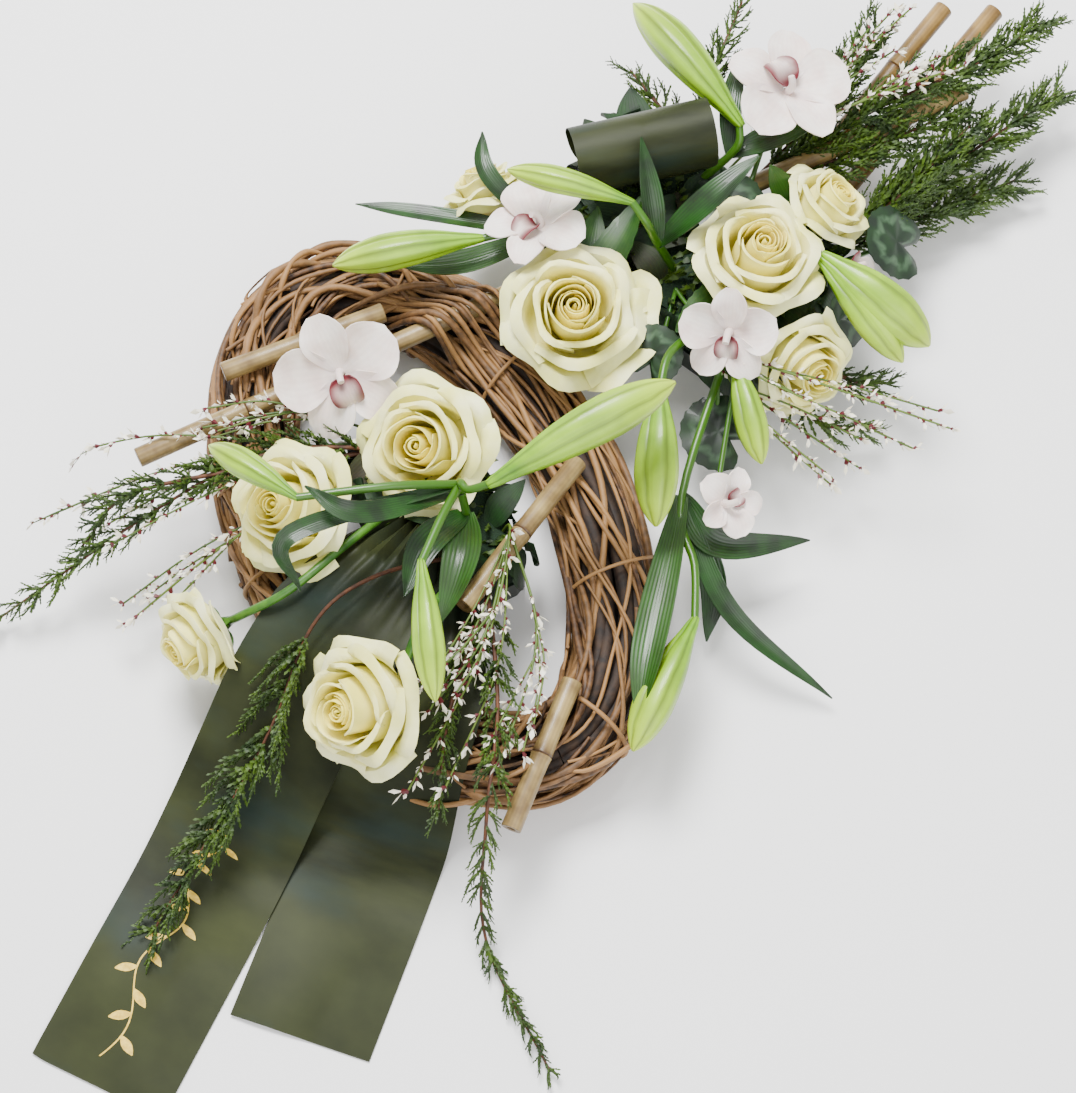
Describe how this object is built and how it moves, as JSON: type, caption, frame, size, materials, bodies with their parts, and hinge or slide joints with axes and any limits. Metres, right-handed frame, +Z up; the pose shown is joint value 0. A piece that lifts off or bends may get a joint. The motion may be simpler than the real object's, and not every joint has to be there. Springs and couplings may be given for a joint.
{
  "type": "grave arrangement",
  "caption": "Flat grave arrangement on an oval vine wreath, with roses, lily buds, orchids, juniper, bamboo sticks and satin ribbon tails.",
  "frame": {"origin": "middle of the arrangement's box, on the surface that it lies on", "axes": "+Y towards the head of the arrangement, away from the ribbon tails; +Z up"},
  "size_m": [0.5266, 1.0536, 0.1928],
  "materials": {
    "vine": "dry, satin",
    "foam": "matte, open-celled",
    "tray": "satin",
    "bamboo": "satin",
    "ribbon": "satin weave",
    "rose_petal": "soft, fresh petal",
    "rose_green": "fresh leaf",
    "lily": "waxy",
    "orchid": "soft, fresh petal",
    "cyclamen": "matte leaf",
    "juniper": "fresh needle",
    "broom": "fresh stem"
  },
  "bodies": {
    "root": {"bamboo_foot": "bamboo", "bamboo_head_1": "bamboo", "bamboo_head_2": "bamboo", "bamboo_left": "bamboo", "bamboo_long": "bamboo", "bamboo_middle": "bamboo", "broom_head": "broom", "broom_left": "broom", "broom_middle": "broom", "broom_right": "broom", "cyclamen_1": "cyclamen", "cyclamen_2": "cyclamen", "cyclamen_3": "cyclamen", "foam_centre": "foam", "foam_head": "foam", "juniper_foot": "juniper", "juniper_head_1": "juniper", "juniper_head_2": "juniper", "juniper_left": "juniper", "juniper_ribbon": "juniper", "juniper_right": "juniper", "juniper_top": "juniper", "lily_1": "lily", "lily_10": "lily", "lily_2": "lily", "lily_3": "lily", "lily_6": "lily", "lily_7": "lily", "lily_8": "lily", "lily_centre": "lily", "orchid_1": "orchid", "orchid_2": "orchid", "orchid_3": "orchid", "orchid_4": "orchid", "orchid_5": "orchid", "orchid_6": "orchid", "ribbon_loop": "ribbon", "ribbon_tail_left": "ribbon", "ribbon_tail_right": "ribbon", "rose_1": "rose_petal", "rose_1_stem": "rose_green", "rose_2": "rose_petal", "rose_2_stem": "rose_green", "rose_3": "rose_petal", "rose_3_stem": "rose_green", "rose_4": "rose_petal", "rose_4_stem": "rose_green", "rose_5": "rose_petal", "rose_5_stem": "rose_green", "rose_6": "rose_petal", "rose_6_stem": "rose_green", "rose_7": "rose_petal", "rose_7_stem": "rose_green", "rose_8": "rose_petal", "rose_8_stem": "rose_green", "rose_9": "rose_petal", "rose_9_stem": "rose_green", "tray_centre": "tray", "tray_head": "tray", "wreath": "vine"}
  },
  "joints": []
}
